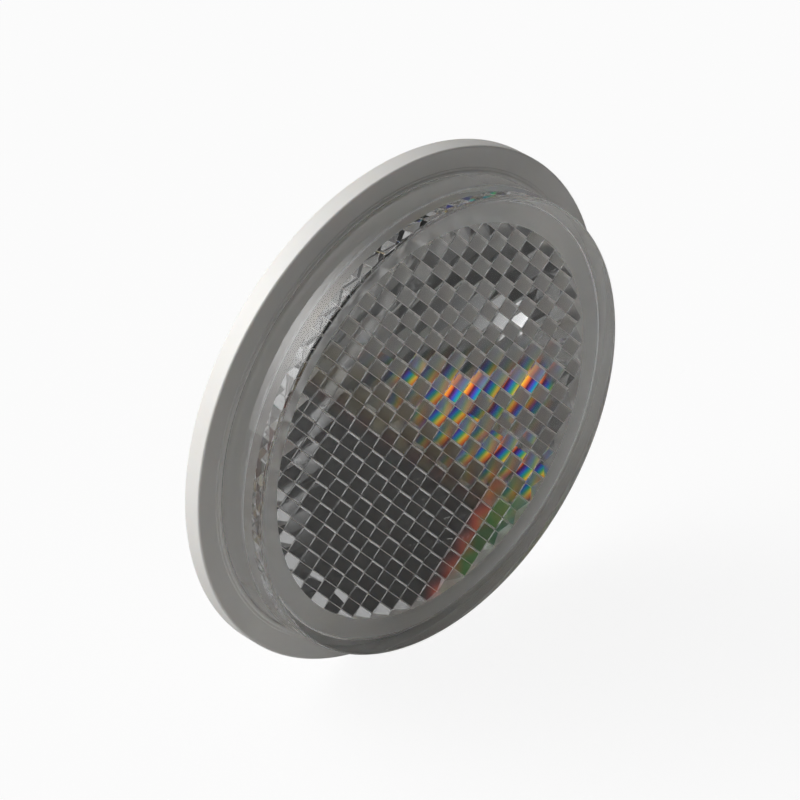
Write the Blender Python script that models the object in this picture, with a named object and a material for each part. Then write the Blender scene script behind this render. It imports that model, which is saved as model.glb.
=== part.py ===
"""Round moulded retro-reflector prism for survey sightings: three rigid pieces, nothing moves.

The clear lens is a thick flat-fronted cap with a field of corner cubes moulded on its inner
side.  Its skirt is welded into a groove of the white back housing, whose flange stands out past
the lens.  A foam adhesive pad lies in a shallow pocket in the housing's back.

The optical axis is the Y axis and the front looks along -Y.  The origin is the centre of the
pad's adhesive face, which goes against a wall or a plate.  Units are metres, +Z is up.
"""

from math import ceil, cos, pi, radians, sin, sqrt

import bmesh
import bpy
from mathutils import Vector

MM = 0.001

# Driving dimensions.  Heights are measured from the housing's back plane towards the front.
FLANGE_RADIUS = 42.0 * MM
FLANGE_THICKNESS = 3.2 * MM
LENS_RADIUS = 37.6 * MM
FRONT_HEIGHT = 11.8 * MM
PLATE_THICKNESS = 4.8 * MM
ARRAY_RADIUS = 32.3 * MM
CUBE_PITCH = 4.37 * MM  # across the flats of one cube's hexagon
PAD_RADIUS = 36.0 * MM
PAD_THICKNESS = 1.0 * MM
PAD_PROUD = 0.4 * MM
GAP = 0.2 * MM  # between pieces that touch

# Lens
SKIRT_WALL = 1.7 * MM
SKIRT_DRAFT = 0.2 * MM  # the lens is this much slimmer at its front than at its foot
FRONT_EDGE = 0.6 * MM  # radius of the front edge
INNER_FILLET = 0.5 * MM
CUBE_TURN = radians(10.6)  # direction in which one face of each cube leans, from +X towards +Z
CUBE_OFFSET = (0.47, 0.2)  # the middle cube's tip, in pitches along +X and +Z
VALLEY_RISE = 0.15 * MM  # the valleys between the cubes stand this far off the plate
DRUM_ROOT = 0.5 * MM  # how far the cubes' drum reaches into the plate before it is joined

# Housing
FLANGE_EDGE = 0.35 * MM
GROOVE_DEPTH = 0.6 * MM
SHOULDER_WIDTH = 0.9 * MM  # the ring between the groove and the recess under the cubes
RECESS_DEPTH = 1.0 * MM
RECESS_FILLET = 0.4 * MM
BACK_EDGE = 0.3 * MM

ROUND_STEPS = 72
ARC_STEPS = 4

HOUSING_BACK = -PAD_PROUD
WHITE_ABS = (0.86, 0.86, 0.84, 1.0)
CLEAR_ACRYLIC = (0.82, 0.85, 0.87, 1.0)
GREY_FOAM = (0.22, 0.23, 0.25, 1.0)


def clear_scene():
    """Remove every object that the file holds."""
    for thing in list(bpy.data.objects):
        bpy.data.objects.remove(thing, do_unlink=True)


def plain_material(name, colour, roughness, transmission=0.0, ior=1.49):
    """A Principled material with one colour."""
    material = bpy.data.materials.new(name)
    material.use_nodes = True
    shader = material.node_tree.nodes["Principled BSDF"]
    shader.inputs["Base Color"].default_value = colour
    shader.inputs["Roughness"].default_value = roughness
    shader.inputs["Metallic"].default_value = 0.0
    shader.inputs["Transmission Weight"].default_value = transmission
    shader.inputs["IOR"].default_value = ior
    material.diffuse_color = colour
    return material


def link_object(name, bm, material):
    """Turn a bmesh into a linked object with smooth round sides and crisp edges."""
    mesh = bpy.data.meshes.new(name)
    bmesh.ops.recalc_face_normals(bm, faces=bm.faces)
    bm.to_mesh(mesh)
    bm.free()
    mesh.shade_smooth()
    mesh.set_sharp_from_angle(angle=radians(30))
    if material:
        mesh.materials.append(material)
    thing = bpy.data.objects.new(name, mesh)
    bpy.context.scene.collection.objects.link(thing)
    return thing


def arc(centre, radius, start, end):
    """Points (radius, height) on a quarter round in the profile, angles in degrees."""
    steps = [radians(start + (end - start) * i / ARC_STEPS) for i in range(ARC_STEPS + 1)]
    return [(centre[0] + radius * cos(a), centre[1] + radius * sin(a)) for a in steps]


def turned(profile):
    """Spin a profile of (radius, height) points round the optical axis into a closed body."""
    bm = bmesh.new()
    points = [bm.verts.new((radius, HOUSING_BACK - height, 0.0)) for radius, height in profile]
    outline = [bm.edges.new(pair) for pair in zip(points, points[1:])]
    bmesh.ops.spin(
        bm,
        geom=points + outline,
        cent=(0.0, 0.0, 0.0),
        axis=(0.0, 1.0, 0.0),
        angle=2 * pi,
        steps=ROUND_STEPS,
        use_merge=True,
    )
    bmesh.ops.remove_doubles(bm, verts=bm.verts, dist=0.001 * MM)
    return bm


def boolean(target, cutter, operation):
    """Combine target with cutter for good, and remove the cutter."""
    modifier = target.modifiers.new(operation.title(), "BOOLEAN")
    modifier.operation = operation
    modifier.solver = "EXACT"
    modifier.object = cutter
    graph = bpy.context.evaluated_depsgraph_get()
    result = bpy.data.meshes.new_from_object(target.evaluated_get(graph))
    target.modifiers.clear()
    target.data = result
    bpy.data.objects.remove(cutter, do_unlink=True)


def back_housing(material):
    """White disc: flange, weld groove for the skirt, recess under the cubes, pocket behind."""
    pocket_radius = PAD_RADIUS + GAP
    pocket_depth = PAD_THICKNESS - PAD_PROUD + GAP
    groove_outer = LENS_RADIUS + GAP
    groove_inner = LENS_RADIUS - SKIRT_WALL - GAP
    groove_floor = FLANGE_THICKNESS - GROOVE_DEPTH
    recess_radius = groove_inner - SHOULDER_WIDTH
    recess_floor = FLANGE_THICKNESS - RECESS_DEPTH
    rim_front = (FLANGE_RADIUS - FLANGE_EDGE, FLANGE_THICKNESS - FLANGE_EDGE)
    recess_corner = (recess_radius - RECESS_FILLET, recess_floor + RECESS_FILLET)
    profile = [
        (0.0, pocket_depth),
        (pocket_radius, pocket_depth),
        (pocket_radius, 0.0),
        (FLANGE_RADIUS - BACK_EDGE, 0.0),
        (FLANGE_RADIUS, BACK_EDGE),
        *arc(rim_front, FLANGE_EDGE, 0, 90),
        (groove_outer, FLANGE_THICKNESS),
        (groove_outer, groove_floor),
        (groove_inner, groove_floor),
        (groove_inner, FLANGE_THICKNESS),
        (recess_radius, FLANGE_THICKNESS),
        *arc(recess_corner, RECESS_FILLET, 0, -90),
        (0.0, recess_floor),
    ]
    return link_object("back_housing", turned(profile), material)


def lens_cap():
    """The lens without its cubes: thick front plate and skirt."""
    foot = FLANGE_THICKNESS - GROOVE_DEPTH + GAP
    front_radius = LENS_RADIUS - SKIRT_DRAFT
    inner_radius = LENS_RADIUS - SKIRT_WALL
    plate_back = FRONT_HEIGHT - PLATE_THICKNESS
    front_corner = (front_radius - FRONT_EDGE, FRONT_HEIGHT - FRONT_EDGE)
    inner_corner = (inner_radius - INNER_FILLET, plate_back - INNER_FILLET)
    profile = [
        (0.0, plate_back),
        *arc(inner_corner, INNER_FILLET, 90, 0),
        (inner_radius, foot),
        (LENS_RADIUS, foot),
        *arc(front_corner, FRONT_EDGE, 0, 90),
        (0.0, FRONT_HEIGHT),
    ]
    return turned(profile)


def cube_field():
    """Corner cubes side by side over more than the array's circle, on a flat base.

    Each cube shows three square faces that meet at its tip, which points at the housing.  Seen
    along the axis it fills a hexagon, whose corners lie one third and two thirds of the cube's
    long diagonal below the tip in turn, so neighbouring cubes share their corners.
    """
    corner_radius = CUBE_PITCH / sqrt(3)
    third = CUBE_PITCH / sqrt(6)  # a third of the cube's long diagonal
    valley = HOUSING_BACK - (FRONT_HEIGHT - PLATE_THICKNESS) + VALLEY_RISE
    base = HOUSING_BACK - (FRONT_HEIGHT - PLATE_THICKNESS) - DRUM_ROOT
    bm = bmesh.new()
    shared = {}

    def point(x, z, level):
        """The vertex at (x, z) on one of the three levels, made once."""
        key = (round(x / MM, 3), round(z / MM, 3))
        if key not in shared:
            shared[key] = bm.verts.new((x, valley + level * third, z))
        return shared[key]

    # the tips stand in rows a sixth of a turn apart, at right angles to the faces' lean
    row_direction = complex(-sin(CUBE_TURN), cos(CUBE_TURN))
    reach = ceil((ARRAY_RADIUS + CUBE_PITCH) / (CUBE_PITCH * sqrt(3) / 2)) + 1
    for column in range(-reach, reach + 1):
        for row in range(-reach, reach + 1):
            step = column + row / 2 + 1j * row * sqrt(3) / 2
            tip = CUBE_PITCH * (step * row_direction + complex(*CUBE_OFFSET))
            if abs(tip) > ARRAY_RADIUS + CUBE_PITCH:
                continue
            ring = []
            for corner in range(6):
                angle = CUBE_TURN + corner * pi / 3
                x = tip.real + corner_radius * cos(angle)
                z = tip.imag + corner_radius * sin(angle)
                ring.append(point(x, z, 0 if corner % 2 == 0 else 1))
            peak = point(tip.real, tip.imag, 2)
            for face in range(3):
                low = ring[2 * face]
                bm.faces.new((peak, ring[2 * face - 1], low, ring[2 * face + 1]))
    rim = [edge for edge in bm.edges if edge.is_boundary]
    grown = bmesh.ops.extrude_edge_only(bm, edges=rim)["geom"]
    for vert in grown:
        if isinstance(vert, bmesh.types.BMVert):
            vert.co.y = base
    bmesh.ops.holes_fill(bm, edges=[edge for edge in bm.edges if edge.is_boundary])
    return bm


def trimming_cylinder():
    """A cylinder of the array's radius, longer than the cubes at both ends."""
    bm = bmesh.new()
    bmesh.ops.create_cone(
        bm,
        cap_ends=True,
        segments=ROUND_STEPS,
        radius1=ARRAY_RADIUS,
        radius2=ARRAY_RADIUS,
        depth=2 * FRONT_HEIGHT,
    )
    for vert in bm.verts:
        vert.co = Vector((vert.co.x, HOUSING_BACK - FRONT_HEIGHT / 2 + vert.co.z, vert.co.y))
    return bm


def reflector_lens(material):
    """Clear lens: the cap with the trimmed drum of corner cubes joined to its plate."""
    drum = link_object("cube_drum", cube_field(), None)
    boolean(drum, link_object("trim", trimming_cylinder(), None), "INTERSECT")
    lens = link_object("reflector_lens", lens_cap(), material)
    boolean(lens, drum, "UNION")
    lens.data.materials.clear()
    lens.data.materials.append(material)
    lens.data.shade_smooth()
    lens.data.set_sharp_from_angle(angle=radians(30))
    return lens


def adhesive_pad(material):
    """Foam disc in the pocket; its outer face is the one that sticks."""
    front = PAD_THICKNESS - PAD_PROUD
    profile = [(0.0, front), (PAD_RADIUS, front), (PAD_RADIUS, -PAD_PROUD), (0.0, -PAD_PROUD)]
    return link_object("adhesive_pad", turned(profile), material)


def main():
    clear_scene()
    back_housing(plain_material("white_abs", WHITE_ABS, 0.45))
    reflector_lens(plain_material("clear_acrylic", CLEAR_ACRYLIC, 0.05, transmission=1.0))
    adhesive_pad(plain_material("grey_foam", GREY_FOAM, 0.9))


main()
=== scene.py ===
"""The round survey reflector's looks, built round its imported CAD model.

The frame is the CAD's: the optical axis is Y, the front looks along -Y, the origin is the centre
of the adhesive face and +Z is up.  Units are metres.
"""

from math import ceil, cos, pi, radians, sin, sqrt

import bmesh
import bpy
from mathutils import Matrix, Vector


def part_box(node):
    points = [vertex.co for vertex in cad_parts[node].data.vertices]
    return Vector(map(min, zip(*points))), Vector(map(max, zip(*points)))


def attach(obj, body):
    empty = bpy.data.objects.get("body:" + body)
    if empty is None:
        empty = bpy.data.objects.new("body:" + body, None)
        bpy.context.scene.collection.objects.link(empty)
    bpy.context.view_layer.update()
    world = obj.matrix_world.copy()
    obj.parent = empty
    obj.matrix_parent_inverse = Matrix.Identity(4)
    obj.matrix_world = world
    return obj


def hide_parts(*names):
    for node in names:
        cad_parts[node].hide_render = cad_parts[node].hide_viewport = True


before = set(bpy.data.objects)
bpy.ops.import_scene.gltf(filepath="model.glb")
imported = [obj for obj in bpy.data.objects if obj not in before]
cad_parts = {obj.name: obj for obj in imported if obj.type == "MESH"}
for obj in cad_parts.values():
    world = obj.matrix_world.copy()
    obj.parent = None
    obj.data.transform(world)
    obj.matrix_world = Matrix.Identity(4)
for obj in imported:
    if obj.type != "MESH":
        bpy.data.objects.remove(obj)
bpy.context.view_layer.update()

MM = 0.001

# Camera
AZIMUTH = radians(-44.52)
ELEVATION = radians(33.41)
DISTANCE = 0.754
LENS_MM = 225.0
AIM = (1.6 * MM, -0.3 * MM)  # what the camera aims at, right of and above the housing's centre

# Frame sizes, read from the CAD nodes
pad_low, pad_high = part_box("adhesive_pad")
housing_low, housing_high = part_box("back_housing")
lens_low, lens_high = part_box("reflector_lens")
HOUSING_BACK = housing_high.y
FLANGE_RADIUS = housing_high.x
FLANGE_THICKNESS = housing_high.y - housing_low.y
LENS_RADIUS = lens_high.x
FRONT_HEIGHT = HOUSING_BACK - lens_low.y
PAD_RADIUS = pad_high.x

PLATE_THICKNESS = 4.8 * MM
ARRAY_RADIUS = 32.3 * MM
CUBE_PITCH = 4.37 * MM
CUBE_TURN = radians(10.6)
CUBE_OFFSET = (0.47, 0.2)
VALLEY_RISE = 0.15 * MM
DRUM_ROOT = 0.5 * MM
CUBE_EDGE = 0.09 * MM
SKIRT_WALL = 1.7 * MM
SKIRT_DRAFT = 0.2 * MM
FRONT_EDGE = 0.6 * MM
INNER_FILLET = 0.5 * MM
GROOVE_DEPTH = 0.6 * MM
SHOULDER_WIDTH = 0.9 * MM
RECESS_DEPTH = 1.0 * MM
RECESS_FILLET = 0.4 * MM
FLANGE_EDGE = 0.35 * MM
BACK_EDGE = 0.3 * MM
WELD_GAP = 0.02 * MM
POCKET_GAP = 0.2 * MM
PAD_EDGE = 0.15 * MM
PAD_CRUSH = 0.05 * MM
FILM_THICKNESS = 0.08 * MM
FILM_INSET = 0.2 * MM
BEAD_WIDTH = 0.6 * MM
BEAD_HEIGHT = 0.22 * MM
STEP_WIDTH = 0.35 * MM
STEP_HEIGHT = 0.1 * MM

# Leeway when faces and edges are told apart by where they are, and by where they look
GAUGE = 0.01 * MM
RING_GAUGE = 0.05 * MM
SAME_WAY = 0.9999

# Acrylic
ACRYLIC_IOR = 1.491
ACRYLIC_TINT = (0.985, 0.99, 0.99, 1.0)
SATIN_ROUGHNESS = 0.3
CLEAR, FACET, BARRED, SATIN = range(4)  # the lens's material slots

# The spectrum in the cubes is painted light: coloured glints that glow by themselves on their
# faces, and painted shade in a band along the dark zone's edge.  None of it is worked out from the
# optics.
# Everything here was set for the scene's own viewing angle.  Places are in pitches, along two lines
# across the array: the edge of the dark zone, and the edge of the coloured corner.
DARK_LINE = (0.726, 0.689, 1.455)  # how far along +X and +Z one goes away from it, and its place
CORNER_LINE = (0.73, -0.68, -5.17)
HUES = (  # one turn of the spectrum, from red back to red
    (0.0, (0.30, 0.03, 0.02)),
    (0.10, (0.80, 0.15, 0.04)),
    (0.20, (1.0, 0.34, 0.03)),
    (0.32, (1.0, 0.68, 0.08)),
    (0.42, (0.38, 0.55, 0.08)),
    (0.52, (0.04, 0.40, 0.20)),
    (0.62, (0.01, 0.32, 0.45)),
    (0.72, (0.02, 0.13, 0.55)),
    (0.82, (0.09, 0.04, 0.42)),
    (0.90, (0.08, 0.02, 0.15)),
    (1.0, (0.05, 0.01, 0.02)),
)
FIRST_HUES = (0.1, 0.31)  # hue at the dark line, and its growth with the distance
FIRST_REACH = 2.45  # where the second turn of the spectrum begins
SECOND_HUES = (0.02, 0.07, -0.16)  # its first hue, and the growth with the distance and the row
CORNER_REACH = 1.4  # how far beyond the dark line the corner's glow goes
HUE_TURN = (0.2, -0.85)  # hue at one edge of a facet, and its growth across the facet
FIRST_GLOW = ((-0.7, 0.0), (-0.3, 0.05), (0.4, 0.12), (1.0, 0.26), (1.6, 0.5), (2.45, 0.6))
ROW_GLOW = (
    (-1.4, 0.06),
    (-0.7, 0.12),
    (0.0, 0.3),
    (0.35, 0.95),
    (1.0, 1.0),
    (1.4, 0.4),
    (2.4, 0.12),
    (3.2, 0.0),
)
COLUMN_GLOW = ((-6.3, 0.0), (-5.4, 1.0), (1.2, 1.0), (2.2, 0.25), (4.5, 0.05), (6.0, 0.0))
HUE_CHANCE = 0.5  # how far the hue strays from facet to facet
FACET_CHANCE = ((0.0, 0.25), (0.3, 0.75), (0.7, 1.0), (1.0, 1.0))
CORNER_CHANCE = ((0.0, 0.15), (0.5, 0.5), (1.0, 1.0))
COVER_BY_GLOW = 2.2  # how much of a facet its colours cover, for each unit of their brightness
# A painted glint: a red to green glow on the faces near the corner line.
CORNER_GLOW = (  # by the distance from the corner line
    (-0.45, (0.0, 0.0, 0.0)),
    (-0.15, (0.04, 0.004, 0.004)),
    (0.15, (0.16, 0.024, 0.010)),
    (0.5, (0.09, 0.050, 0.008)),
    (0.85, (0.012, 0.066, 0.010)),
    (1.3, (0.035, 0.070, 0.012)),
    (1.8, (0.010, 0.055, 0.030)),
    (2.4, (0.005, 0.040, 0.045)),
    (3.2, (0.0, 0.0, 0.0)),
)
# Painted shade on the unbarred faces: deep red at the dark zone's edge, then brown and olive, back
# to the acrylic's clear tint.
DARK_EDGE_PAINTED_SHADE = (  # by the distance from the dark line
    (-1.0, (0.985, 0.99, 0.99)),
    (-0.2, (0.12, 0.02, 0.02)),
    (0.15, (0.19, 0.03, 0.02)),
    (0.35, (0.27, 0.12, 0.05)),
    (0.75, (0.56, 0.46, 0.18)),
    (1.3, (0.81, 0.74, 0.49)),
    (2.0, (0.985, 0.99, 0.99)),
)

# White plastic
FLOW_SIZE = 12 * MM
FLOW_DEPTH = 0.03 * MM
GRAIN_SIZE = 0.25 * MM
GRAIN_DEPTH = 0.006 * MM
SPECK_SIZE = 1.1 * MM
PLASTIC_TONES = ((0.3, (0.88, 0.86, 0.82)), (0.5, (0.90, 0.885, 0.85)), (0.7, (0.885, 0.875, 0.85)))
PLASTIC_SPECKS = ((0.0, (0.72, 0.70, 0.66)), (0.05, 1.0), (1.0, 1.0))
PLASTIC_ROUGHNESS = ((0.25, 0.34), (0.75, 0.5))
PLASTIC_SCATTER = 0.15
SCATTER_COLOUR = (0.9, 0.7, 0.5)
SCATTER_DEPTH = 1.0 * MM

# Foam and its adhesive film
CELL_SIZE = 0.35 * MM
CELL_DEPTH = 0.08 * MM
PATCH_SIZE = 5 * MM
FOAM_TONES = ((0.3, (0.035, 0.037, 0.041)), (0.7, (0.060, 0.062, 0.068)))
# The cells are painted darker in their middles, as painted shade in the pores, and a little lighter
# at their walls.
FOAM_PORE_SHADE = ((0.0, 0.45), (0.35, 1.0), (1.0, 1.15))
FOAM_ROUGHNESS = ((0.2, 0.78), (0.8, 0.95))
BUBBLE_SIZE = 1.6 * MM
SMEAR_SIZE = 7 * MM
SMEAR_DEPTH = 0.05 * MM
FILM_TONES = ((0.3, (0.10, 0.095, 0.085)), (0.7, (0.15, 0.14, 0.12)))
FILM_BUBBLES = ((0.0, 1.5), (0.12, 1.0), (1.0, 0.95))
FILM_ROUGHNESS = ((0.25, 0.22), (0.75, 0.45))

# Stage.  The camera sees the floor and the backdrop near white, by their glow, shade and
# brightness; the object gets its light from the felt floor, the dim room and the soft lights.
FLOOR_SIZE = 6.0
FLOOR_FELT = 0.58
FLOOR_GLOW = 0.9
FLOOR_SHADE = 0.1
ROOM = 0.01
BACKDROP = 0.98
GLOWS = (  # azimuth, elevation, narrowness and radiance
    (-140, 38, 10.0, 6.0),
    (-115, -20, 5.0, 1.5),
    (78, -2, 10.0, 0.5),
    (-50, 4, 40.0, 0.9),
)

ROUND_STEPS = 192
ARC_STEPS = 6


def camera_axes():
    """The camera's right, up and back directions in the frame."""
    right = Vector((cos(AZIMUTH), sin(AZIMUTH), 0.0))
    back = Vector(
        (sin(AZIMUTH) * cos(ELEVATION), -cos(AZIMUTH) * cos(ELEVATION), sin(ELEVATION))
    )
    return right, back.cross(right), back


def add_camera():
    right, up, back = camera_axes()
    aim = Vector((0.0, HOUSING_BACK, 0.0)) + AIM[0] * right + AIM[1] * up
    data = bpy.data.cameras.new("camera")
    data.lens = LENS_MM
    data.sensor_width = 36.0
    data.clip_start = 0.01
    camera = bpy.data.objects.new("camera", data)
    camera.matrix_world = Matrix.Translation(aim + back * DISTANCE) @ Matrix(
        (right, up, back)
    ).transposed().to_4x4()
    bpy.context.scene.collection.objects.link(camera)
    bpy.context.scene.camera = camera


def arc(centre, radius, start, end, steps=ARC_STEPS):
    """Points (radius, height) on an arc in the profile, angles in degrees."""
    turns = [radians(start + (end - start) * i / steps) for i in range(steps + 1)]
    return [(centre[0] + radius * cos(a), centre[1] + radius * sin(a)) for a in turns]


def turned(profile):
    """Spin a profile of (radius, height) points round the optical axis into a closed body."""
    bm = bmesh.new()
    points = [bm.verts.new((radius, HOUSING_BACK - height, 0.0)) for radius, height in profile]
    outline = [bm.edges.new(pair) for pair in zip(points, points[1:])]
    bmesh.ops.spin(
        bm,
        geom=points + outline,
        cent=(0.0, 0.0, 0.0),
        axis=(0.0, 1.0, 0.0),
        angle=2 * pi,
        steps=ROUND_STEPS,
        use_merge=True,
    )
    bmesh.ops.remove_doubles(bm, verts=bm.verts, dist=0.0005 * MM)
    bmesh.ops.recalc_face_normals(bm, faces=bm.faces)
    return bm


def add_mesh(name, bm, material=None, smooth=True):
    mesh = bpy.data.meshes.new(name)
    bm.to_mesh(mesh)
    bm.free()
    if smooth:
        mesh.shade_smooth()
        mesh.set_sharp_from_angle(angle=radians(35))
    thing = bpy.data.objects.new(name, mesh)
    bpy.context.scene.collection.objects.link(thing)
    if material:
        mesh.materials.append(material)
    return thing


def apply_modifiers(target):
    graph = bpy.context.evaluated_depsgraph_get()
    result = bpy.data.meshes.new_from_object(target.evaluated_get(graph))
    target.modifiers.clear()
    target.data = result


def boolean(target, cutter, operation):
    """Combine target with cutter for good, and remove the cutter."""
    modifier = target.modifiers.new(operation.title(), "BOOLEAN")
    modifier.operation = operation
    modifier.solver = "EXACT"
    modifier.object = cutter
    apply_modifiers(target)
    bpy.data.objects.remove(cutter, do_unlink=True)


def flatten_normals(target):
    """Give flat faces their true normals where they run into a rounded edge."""
    modifier = target.modifiers.new("Weighted normals", "WEIGHTED_NORMAL")
    modifier.mode = "FACE_AREA"
    modifier.weight = 100
    modifier.keep_sharp = True
    apply_modifiers(target)


def lens_cap():
    """The lens without its cubes: thick front plate and skirt."""
    foot = FLANGE_THICKNESS - GROOVE_DEPTH + WELD_GAP
    front_radius = LENS_RADIUS - SKIRT_DRAFT
    inner_radius = LENS_RADIUS - SKIRT_WALL
    plate_back = FRONT_HEIGHT - PLATE_THICKNESS
    front_corner = (front_radius - FRONT_EDGE, FRONT_HEIGHT - FRONT_EDGE)
    inner_corner = (inner_radius - INNER_FILLET, plate_back - INNER_FILLET)
    profile = [
        (0.0, plate_back),
        *arc(inner_corner, INNER_FILLET, 90, 0),
        (inner_radius, foot),
        (LENS_RADIUS, foot),
        *arc(front_corner, FRONT_EDGE, 0, 90),
        (0.0, FRONT_HEIGHT),
    ]
    return turned(profile)


def cube_field():
    """Corner cubes with softened edges over more than the array's circle, on a flat base."""
    corner_radius = CUBE_PITCH / sqrt(3)
    third = CUBE_PITCH / sqrt(6)
    valley = HOUSING_BACK - (FRONT_HEIGHT - PLATE_THICKNESS) + VALLEY_RISE
    base = HOUSING_BACK - (FRONT_HEIGHT - PLATE_THICKNESS) - DRUM_ROOT
    bm = bmesh.new()
    shared = {}

    def point(x, z, level):
        key = (round(x / MM, 3), round(z / MM, 3))
        if key not in shared:
            shared[key] = bm.verts.new((x, valley + level * third, z))
        return shared[key]

    reach = ceil((ARRAY_RADIUS + CUBE_PITCH) / (CUBE_PITCH * sqrt(3) / 2)) + 1
    for column in range(-reach, reach + 1):
        for row in range(-reach, reach + 1):
            step = column + row / 2 + 1j * row * sqrt(3) / 2
            turn = CUBE_TURN + pi / 2
            tip = CUBE_PITCH * (step * (cos(turn) + 1j * sin(turn)) + complex(*CUBE_OFFSET))
            if abs(tip) > ARRAY_RADIUS + CUBE_PITCH:
                continue
            ring = []
            for corner in range(6):
                angle = CUBE_TURN + corner * pi / 3
                x = tip.real + corner_radius * cos(angle)
                z = tip.imag + corner_radius * sin(angle)
                ring.append(point(x, z, 0 if corner % 2 == 0 else 1))
            peak = point(tip.real, tip.imag, 2)
            for face in range(3):
                low = ring[2 * face]
                bm.faces.new((peak, ring[2 * face - 1], low, ring[2 * face + 1]))
    bmesh.ops.bevel(
        bm,
        geom=[edge for edge in bm.edges if not edge.is_boundary],
        offset=CUBE_EDGE,
        offset_type="OFFSET",
        segments=2,
        profile=0.5,
        affect="EDGES",
        clamp_overlap=True,
    )
    rim = [edge for edge in bm.edges if edge.is_boundary]
    grown = bmesh.ops.extrude_edge_only(bm, edges=rim)["geom"]
    for vert in grown:
        if isinstance(vert, bmesh.types.BMVert):
            vert.co.y = base
    bmesh.ops.holes_fill(bm, edges=[edge for edge in bm.edges if edge.is_boundary])
    bmesh.ops.recalc_face_normals(bm, faces=bm.faces)
    return bm


def trimming_cylinder():
    """A cylinder of the array's radius, longer than the cubes at both ends."""
    bm = bmesh.new()
    bmesh.ops.create_cone(
        bm,
        cap_ends=True,
        segments=ROUND_STEPS,
        radius1=ARRAY_RADIUS,
        radius2=ARRAY_RADIUS,
        depth=2 * FRONT_HEIGHT,
    )
    for vert in bm.verts:
        vert.co = Vector((vert.co.x, HOUSING_BACK - FRONT_HEIGHT / 2 + vert.co.z, vert.co.y))
    bmesh.ops.recalc_face_normals(bm, faces=bm.faces)
    return bm


def new_material(name):
    """A material, its tree and shader, and the place on the object that its textures follow."""
    material = bpy.data.materials.new(name)
    material.use_nodes = True
    nt = material.node_tree
    place = nt.nodes.new("ShaderNodeTexCoord").outputs["Object"]
    return material, nt, nt.nodes["Principled BSDF"], place


def clear_acrylic():
    """Polished acrylic, as plain glass is made."""
    material = bpy.data.materials.new("clear_acrylic")
    material.use_nodes = True
    shader = material.node_tree.nodes["Principled BSDF"]
    shader.inputs["Base Color"].default_value = ACRYLIC_TINT
    shader.inputs["Roughness"].default_value = 0.0
    shader.inputs["Transmission Weight"].default_value = 1.0
    shader.inputs["IOR"].default_value = ACRYLIC_IOR
    return material


def number(tree, operation, first, second):
    """A Math node fed by sockets or plain numbers."""
    node = tree.nodes.new("ShaderNodeMath")
    node.operation = operation
    for socket, value in zip(node.inputs, (first, second)):
        if isinstance(value, (int, float)):
            socket.default_value = value
        else:
            tree.links.new(value, socket)
    return node.outputs[0]


def satin_acrylic():
    """Acrylic that is evenly matt, as on the mould's unpolished sides."""
    material = clear_acrylic()
    material.name = "satin_acrylic"
    shader = material.node_tree.nodes["Principled BSDF"]
    shader.inputs["Roughness"].default_value = SATIN_ROUGHNESS
    return material


def ramp(tree, value, stops):
    """A colour, or a grey given as a number, that changes with value from stop to stop."""
    low, high = stops[0][0], stops[-1][0]
    spread = tree.nodes.new("ShaderNodeMapRange")
    spread.inputs["From Min"].default_value = low
    spread.inputs["From Max"].default_value = high
    tree.links.new(value, spread.inputs["Value"])
    node = tree.nodes.new("ShaderNodeValToRGB")
    elements = node.color_ramp.elements
    while len(elements) < len(stops):
        elements.new(0.5)
    for element, (place, colour) in zip(elements, stops):
        element.position = (place - low) / (high - low)
        rgb = colour if isinstance(colour, tuple) else (colour,) * 3
        element.color = (*rgb, 1.0)
    tree.links.new(spread.outputs[0], node.inputs[0])
    return node.outputs["Color"]


def distance(tree, place, along_x, along_z, start):
    """How far a point is from a line across the array, in pitches."""
    dot = tree.nodes.new("ShaderNodeVectorMath")
    dot.operation = "DOT_PRODUCT"
    tree.links.new(place, dot.inputs[0])
    dot.inputs[1].default_value = (along_x / CUBE_PITCH, 0.0, along_z / CUBE_PITCH)
    return number(tree, "ADD", dot.outputs["Value"], start)


def facet_chance(tree, place, turn):
    """A random number from 0 to 1 for each of the cubes' faces that lean the same way."""
    east, north = CUBE_OFFSET
    c, z = cos(turn), sin(turn)
    outwards = distance(tree, place, c, z, -east * c - north * z)
    sideways = distance(tree, place, -z, c, east * z - north * c)
    outwards = number(tree, "MULTIPLY", outwards, 2 / sqrt(3))
    column = number(tree, "ROUND", number(tree, "SUBTRACT", outwards, 1 / 3), 0.0)
    row = number(tree, "SUBTRACT", sideways, number(tree, "MULTIPLY", column, 0.5))
    cell = tree.nodes.new("ShaderNodeCombineXYZ")
    tree.links.new(column, cell.inputs["X"])
    tree.links.new(number(tree, "ROUND", row, 0.0), cell.inputs["Y"])
    chance = tree.nodes.new("ShaderNodeTexWhiteNoise")
    chance.noise_dimensions = "3D"
    tree.links.new(cell.outputs[0], chance.inputs["Vector"])
    return chance.outputs["Value"]


def tinted(tree, colour, other, operation):
    """Combine two colours."""
    node = tree.nodes.new("ShaderNodeMix")
    node.data_type = "RGBA"
    node.blend_type = operation
    node.inputs["Factor"].default_value = 1.0
    tree.links.new(colour, node.inputs["A"])
    tree.links.new(other, node.inputs["B"])
    return node.outputs["Result"]


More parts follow.
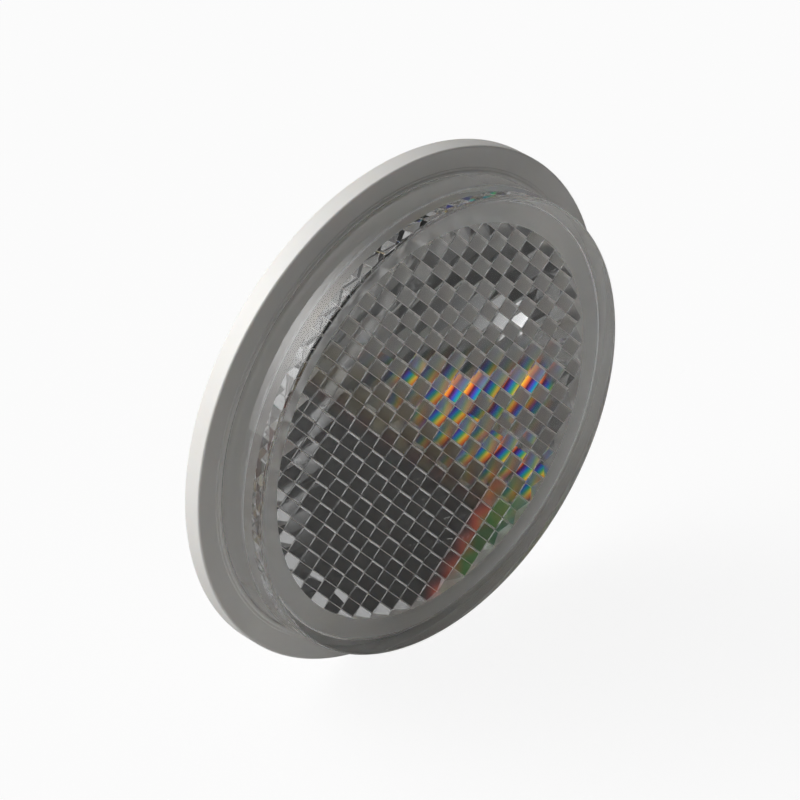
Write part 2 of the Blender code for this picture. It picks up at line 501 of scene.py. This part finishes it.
def facet_acrylic(name, barred):
    """Acrylic for the cubes' faces, with painted light on it: spectral glints that glow by
    themselves, and painted shade along the dark zone's edge on the unbarred faces.

    The renderer doesn't split white light.  The colours are given to the faces by where they lie
    in the array, and glow by themselves.  They suit the scene's own viewing angle and stay on the
    same faces in other views, while real ones move with the eye.  On the barred faces the hue
    also runs through most of the spectrum from edge to edge of each facet.
    """
    material = clear_acrylic()
    material.name = name
    material.cycles.emission_sampling = "NONE"
    nt = material.node_tree
    shader = nt.nodes["Principled BSDF"]
    place = nt.nodes.new("ShaderNodeTexCoord").outputs["Object"]
    dark = distance(nt, place, *DARK_LINE)
    corner = distance(nt, place, *CORNER_LINE)
    inside = number(nt, "LESS_THAN", dark, CORNER_REACH)
    chance = facet_chance(nt, place, CUBE_TURN - (2 * pi / 3 if barred else 0.0))
    # Painted glint: colour that glows by itself near the corner line, on both kinds of facet.
    edge_glow = tinted(nt, ramp(nt, corner, CORNER_GLOW), inside, "MULTIPLY")
    edge_glow = tinted(nt, edge_glow, ramp(nt, chance, CORNER_CHANCE), "MULTIPLY")
    nt.links.new(edge_glow, shader.inputs["Emission Color"])
    shader.inputs["Emission Strength"].default_value = 1.0
    if not barred:
        # Painted shade: the base colour darkens to deep red at the dark zone's edge and clears
        # through brown and olive.
        nt.links.new(ramp(nt, dark, DARK_EDGE_PAINTED_SHADE), shader.inputs["Base Color"])
        return material

    east, north = CUBE_OFFSET
    c, z = cos(CUBE_TURN), sin(CUBE_TURN)
    up_rows = distance(nt, place, -z, c, east * z - north * c)
    over_rows = distance(nt, place, -c, -z, east * c + north * z)
    column = number(nt, "MULTIPLY", over_rows, 2 / sqrt(3))
    row = number(nt, "SUBTRACT", up_rows, number(nt, "MULTIPLY", column, 0.5))
    across = number(nt, "FRACT", number(nt, "MULTIPLY", up_rows, -2.0), 0.0)

    stray = number(nt, "MULTIPLY", number(nt, "SUBTRACT", chance, 0.5), HUE_CHANCE)

    first = number(nt, "ADD", number(nt, "MULTIPLY", dark, FIRST_HUES[1]), FIRST_HUES[0])
    start, by_distance, by_row = SECOND_HUES
    second = number(nt, "MULTIPLY", number(nt, "SUBTRACT", dark, FIRST_REACH), by_distance)
    second = number(nt, "ADD", second, number(nt, "MULTIPLY", row, by_row))
    second = number(nt, "ADD", second, start)
    beyond = number(nt, "GREATER_THAN", dark, FIRST_REACH)
    jump = number(nt, "MULTIPLY", number(nt, "SUBTRACT", second, first), beyond)
    hue = number(nt, "ADD", number(nt, "ADD", first, jump), stray)
    turn = number(nt, "ADD", number(nt, "MULTIPLY", across, HUE_TURN[1]), HUE_TURN[0])
    hue = number(nt, "FRACT", number(nt, "ADD", number(nt, "ADD", hue, turn), 3.0), 0.0)
    colour = ramp(nt, hue, HUES)

    bright = ramp(nt, dark, FIRST_GLOW)
    rows = ramp(nt, row, ROW_GLOW)
    choose = nt.nodes.new("ShaderNodeMix")
    choose.data_type = "RGBA"
    nt.links.new(beyond, choose.inputs["Factor"])
    nt.links.new(bright, choose.inputs["A"])
    nt.links.new(rows, choose.inputs["B"])
    bright = tinted(nt, choose.outputs["Result"], ramp(nt, column, COLUMN_GLOW), "MULTIPLY")
    bright = tinted(nt, bright, ramp(nt, chance, FACET_CHANCE), "MULTIPLY")
    # Painted glints: the spectrum glows by itself and covers the acrylic where it is bright.
    spectrum = nt.nodes.new("ShaderNodeEmission")
    nt.links.new(tinted(nt, colour, bright, "MULTIPLY"), spectrum.inputs["Color"])
    cover = number(nt, "MINIMUM", number(nt, "MULTIPLY", bright, COVER_BY_GLOW), 1.0)
    mix = nt.nodes.new("ShaderNodeMixShader")
    nt.links.new(cover, mix.inputs[0])
    nt.links.new(shader.outputs[0], mix.inputs[1])
    nt.links.new(spectrum.outputs[0], mix.inputs[2])
    nt.links.new(mix.outputs[0], nt.nodes["Material Output"].inputs["Surface"])
    return material


def texture(tree, place, kind, scale, **settings):
    """A procedural texture on the object's own coordinates, with features of a size in metres."""
    node = tree.nodes.new(kind)
    node.inputs["Scale"].default_value = 1 / scale
    for name, value in settings.items():
        node.inputs[name].default_value = value
    tree.links.new(place, node.inputs["Vector"])
    return node.outputs[0]


def relief(tree, heights, distance_in_metres, below=None):
    """A bump of the given depth, over another one if there is one."""
    bump = tree.nodes.new("ShaderNodeBump")
    bump.inputs["Distance"].default_value = distance_in_metres
    tree.links.new(heights, bump.inputs["Height"])
    if below is not None:
        tree.links.new(below, bump.inputs["Normal"])
    return bump.outputs["Normal"]


def white_plastic():
    """White ABS: fine moulding texture, faint flow marks and small specks."""
    material, nt, shader, place = new_material("white_plastic")
    flow = texture(nt, place, "ShaderNodeTexNoise", FLOW_SIZE, Detail=3.0, Distortion=0.6)
    grain = texture(nt, place, "ShaderNodeTexNoise", GRAIN_SIZE, Detail=4.0)
    specks = texture(nt, place, "ShaderNodeTexVoronoi", SPECK_SIZE)
    colour = tinted(nt, ramp(nt, flow, PLASTIC_TONES), ramp(nt, specks, PLASTIC_SPECKS), "MULTIPLY")
    nt.links.new(colour, shader.inputs["Base Color"])
    nt.links.new(ramp(nt, flow, PLASTIC_ROUGHNESS), shader.inputs["Roughness"])
    waves = relief(nt, flow, FLOW_DEPTH)
    nt.links.new(relief(nt, grain, GRAIN_DEPTH, waves), shader.inputs["Normal"])
    shader.inputs["Subsurface Weight"].default_value = PLASTIC_SCATTER
    shader.inputs["Subsurface Radius"].default_value = SCATTER_COLOUR
    shader.inputs["Subsurface Scale"].default_value = SCATTER_DEPTH
    return material


def foam():
    """Closed-cell foam: small round cells with painted shade in their middles, a little uneven in
    tone.
    """
    material, nt, shader, place = new_material("foam")
    cells = texture(nt, place, "ShaderNodeTexVoronoi", CELL_SIZE)
    patches = texture(nt, place, "ShaderNodeTexNoise", PATCH_SIZE, Detail=3.0)
    colour = tinted(nt, ramp(nt, patches, FOAM_TONES), ramp(nt, cells, FOAM_PORE_SHADE), "MULTIPLY")
    nt.links.new(colour, shader.inputs["Base Color"])
    nt.links.new(ramp(nt, patches, FOAM_ROUGHNESS), shader.inputs["Roughness"])
    nt.links.new(relief(nt, cells, CELL_DEPTH), shader.inputs["Normal"])
    return material


def adhesive():
    """Tacky film on the foam: glossier, faintly amber, with small trapped bubbles."""
    material, nt, shader, place = new_material("adhesive")
    bubbles = texture(nt, place, "ShaderNodeTexVoronoi", BUBBLE_SIZE)
    smears = texture(nt, place, "ShaderNodeTexNoise", SMEAR_SIZE, Detail=4.0, Distortion=1.5)
    colour = tinted(nt, ramp(nt, smears, FILM_TONES), ramp(nt, bubbles, FILM_BUBBLES), "MULTIPLY")
    nt.links.new(colour, shader.inputs["Base Color"])
    nt.links.new(ramp(nt, smears, FILM_ROUGHNESS), shader.inputs["Roughness"])
    nt.links.new(relief(nt, smears, SMEAR_DEPTH), shader.inputs["Normal"])
    return material


def from_axis(point):
    """How far a point is from the optical axis."""
    return Vector((point.x, point.z)).length


def reflector_lens():
    """Clear lens: the cap with the trimmed drum of corner cubes joined to its plate."""
    acrylic = (
        clear_acrylic(),
        facet_acrylic("facet_acrylic", False),
        facet_acrylic("barred_acrylic", True),
        satin_acrylic(),
    )
    drum = add_mesh("cube_drum", cube_field(), smooth=False)
    trim = add_mesh("trim", trimming_cylinder())
    lens = add_mesh("clear_lens", lens_cap())
    for thing in (drum, trim, lens):
        for material in acrylic:
            thing.data.materials.append(material)
    for face in drum.data.polygons:
        for index, turn in ((FACET, CUBE_TURN), (BARRED, CUBE_TURN - 2 * pi / 3)):
            lean = Vector((cos(turn), sqrt(0.5), sin(turn))).normalized()
            if face.normal.dot(lean) > SAME_WAY:
                face.material_index = index
    plate_back = HOUSING_BACK - FRONT_HEIGHT + PLATE_THICKNESS
    for face in trim.data.polygons:
        face.material_index = SATIN
    for face in lens.data.polygons:
        outer = from_axis(face.center) > LENS_RADIUS - SKIRT_WALL + GAUGE
        if face.center.y > plate_back - GAUGE and not outer:
            face.material_index = SATIN
    boolean(drum, trim, "INTERSECT")
    boolean(lens, drum, "UNION")
    for edge in lens.data.edges:
        ends = [lens.data.vertices[index].co for index in edge.vertices]
        on_plate = all(abs(end.y - plate_back) < GAUGE for end in ends)
        if on_plate and all(from_axis(end) > ARRAY_RADIUS - RING_GAUGE for end in ends):
            edge.use_edge_sharp = True  # so that the ring is shaded flat
    flatten_normals(lens)
    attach(lens, "root")
    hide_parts("reflector_lens")
    return lens


def collar(inner_radius):
    """Profile of the low bead and step round the lens's foot, from outside to inside."""
    step_radius = inner_radius + BEAD_WIDTH + STEP_WIDTH
    step_top = FLANGE_THICKNESS + STEP_HEIGHT
    radius = BEAD_WIDTH / 2
    half_round = arc((inner_radius + radius, step_top), radius, 0, 180, 2 * ARC_STEPS)
    return [
        (step_radius + STEP_HEIGHT, FLANGE_THICKNESS),
        (step_radius, step_top),
        *[(r, step_top + (h - step_top) * BEAD_HEIGHT / radius) for r, h in half_round],
    ]


def housing():
    """White disc: flange, bead, weld groove, recess under the cubes, pocket behind."""
    pocket_radius = PAD_RADIUS + POCKET_GAP
    pocket_depth = HOUSING_BACK - pad_low.y + POCKET_GAP
    groove_outer = LENS_RADIUS + WELD_GAP
    groove_inner = LENS_RADIUS - SKIRT_WALL - WELD_GAP
    groove_floor = FLANGE_THICKNESS - GROOVE_DEPTH
    recess_radius = groove_inner - SHOULDER_WIDTH
    recess_floor = FLANGE_THICKNESS - RECESS_DEPTH
    rim_front = (FLANGE_RADIUS - FLANGE_EDGE, FLANGE_THICKNESS - FLANGE_EDGE)
    recess_corner = (recess_radius - RECESS_FILLET, recess_floor + RECESS_FILLET)
    profile = [
        (0.0, pocket_depth),
        (pocket_radius, pocket_depth),
        (pocket_radius, 0.0),
        (FLANGE_RADIUS - BACK_EDGE, 0.0),
        (FLANGE_RADIUS, BACK_EDGE),
        *arc(rim_front, FLANGE_EDGE, 0, 90),
        *collar(groove_outer),
        (groove_outer, groove_floor),
        (groove_inner, groove_floor),
        (groove_inner, FLANGE_THICKNESS),
        (recess_radius, FLANGE_THICKNESS),
        *arc(recess_corner, RECESS_FILLET, 0, -90),
        (0.0, recess_floor),
    ]
    piece = add_mesh("white_housing", turned(profile), white_plastic())
    flatten_normals(piece)
    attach(piece, "root")
    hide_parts("back_housing")
    return piece


def pad():
    """Die-cut foam disc with softly crushed edges, and the adhesive film on its outer face."""
    thickness = pad_high.y - pad_low.y
    base = HOUSING_BACK - pad_high.y
    top = base + thickness
    film = base + FILM_THICKNESS
    profile = [
        (0.0, base),
        (PAD_RADIUS - FILM_INSET, base),
        (PAD_RADIUS - FILM_INSET, film),
        *arc((PAD_RADIUS - PAD_EDGE, film + PAD_EDGE), PAD_EDGE, -90, 0),
        (PAD_RADIUS - PAD_CRUSH, base + thickness / 2),
        *arc((PAD_RADIUS - PAD_EDGE, top - PAD_EDGE), PAD_EDGE, 0, 90),
        (0.0, top),
    ]
    piece = add_mesh("foam_pad", turned(profile), foam())
    piece.data.materials.append(adhesive())
    for face in piece.data.polygons:
        if face.center.y > HOUSING_BACK - film - GAUGE:
            face.material_index = 1
    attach(piece, "root")
    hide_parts("adhesive_pad")
    return piece


def camera_mix(tree, seen, felt):
    """A shader that shows the camera one side and lights the object with the other."""
    path = tree.nodes.new("ShaderNodeLightPath")
    mix = tree.nodes.new("ShaderNodeMixShader")
    tree.links.new(path.outputs["Is Camera Ray"], mix.inputs[0])
    tree.links.new(felt, mix.inputs[1])
    tree.links.new(seen, mix.inputs[2])
    return mix.outputs[0]


def floor():
    """Pale floor that the disc stands on; the camera sees it near white, the object duller."""
    bm = bmesh.new()
    bmesh.ops.create_grid(bm, x_segments=1, y_segments=1, size=FLOOR_SIZE)
    material = bpy.data.materials.new("floor")
    material.use_nodes = True
    nt = material.node_tree
    nt.nodes.clear()
    felt = nt.nodes.new("ShaderNodeBsdfDiffuse")
    felt.inputs["Color"].default_value = (FLOOR_FELT, FLOOR_FELT, FLOOR_FELT, 1.0)
    glow = nt.nodes.new("ShaderNodeEmission")
    glow.inputs["Strength"].default_value = FLOOR_GLOW
    shade = nt.nodes.new("ShaderNodeBsdfDiffuse")
    shade.inputs["Color"].default_value = (FLOOR_SHADE, FLOOR_SHADE, FLOOR_SHADE, 1.0)
    seen = nt.nodes.new("ShaderNodeAddShader")
    nt.links.new(glow.outputs[0], seen.inputs[0])
    nt.links.new(shade.outputs[0], seen.inputs[1])
    out = nt.nodes.new("ShaderNodeOutputMaterial")
    nt.links.new(camera_mix(nt, seen.outputs[0], felt.outputs[0]), out.inputs["Surface"])
    thing = add_mesh("floor", bm, material, smooth=False)
    thing.location.z = housing_low.z


def heading(azimuth, elevation):
    """The direction at an azimuth from -Y and an elevation, in degrees."""
    turn, rise = radians(azimuth), radians(elevation)
    return Vector((sin(turn) * cos(rise), -cos(turn) * cos(rise), sin(rise)))


def glow_towards(tree, direction, azimuth, elevation, narrowness, radiance):
    """How bright a soft light with no edge is in a direction of the world."""
    dot = tree.nodes.new("ShaderNodeVectorMath")
    dot.operation = "DOT_PRODUCT"
    tree.links.new(direction, dot.inputs[0])
    dot.inputs[1].default_value = heading(azimuth, elevation)
    facing = number(tree, "MAXIMUM", dot.outputs["Value"], 0.0)
    return number(tree, "MULTIPLY", number(tree, "POWER", facing, narrowness), radiance)


def studio():
    """A dim room with soft lights that have no edge: the main one behind the disc, three fills."""
    world = bpy.data.worlds.new("world")
    world.use_nodes = True
    nt = world.node_tree
    nt.nodes.clear()
    direction = nt.nodes.new("ShaderNodeTexCoord").outputs["Generated"]
    light = ROOM
    for glow in GLOWS:
        light = number(nt, "ADD", glow_towards(nt, direction, *glow), light)
    felt = nt.nodes.new("ShaderNodeBackground")
    nt.links.new(light, felt.inputs["Strength"])
    seen = nt.nodes.new("ShaderNodeBackground")
    seen.inputs["Strength"].default_value = BACKDROP
    for background in (felt, seen):
        background.inputs["Color"].default_value = (1.0, 1.0, 1.0, 1.0)
    out = nt.nodes.new("ShaderNodeOutputWorld")
    nt.links.new(camera_mix(nt, seen.outputs[0], felt.outputs[0]), out.inputs["Surface"])
    bpy.context.scene.world = world


add_camera()
reflector_lens()
housing()
pad()
floor()
studio()

scene = bpy.context.scene
scene.cycles.max_bounces = 24
scene.cycles.glossy_bounces = 16
scene.cycles.transmission_bounces = 24
scene.cycles.diffuse_bounces = 4
scene.cycles.blur_glossy = 0.0
scene.view_settings.view_transform = "Standard"
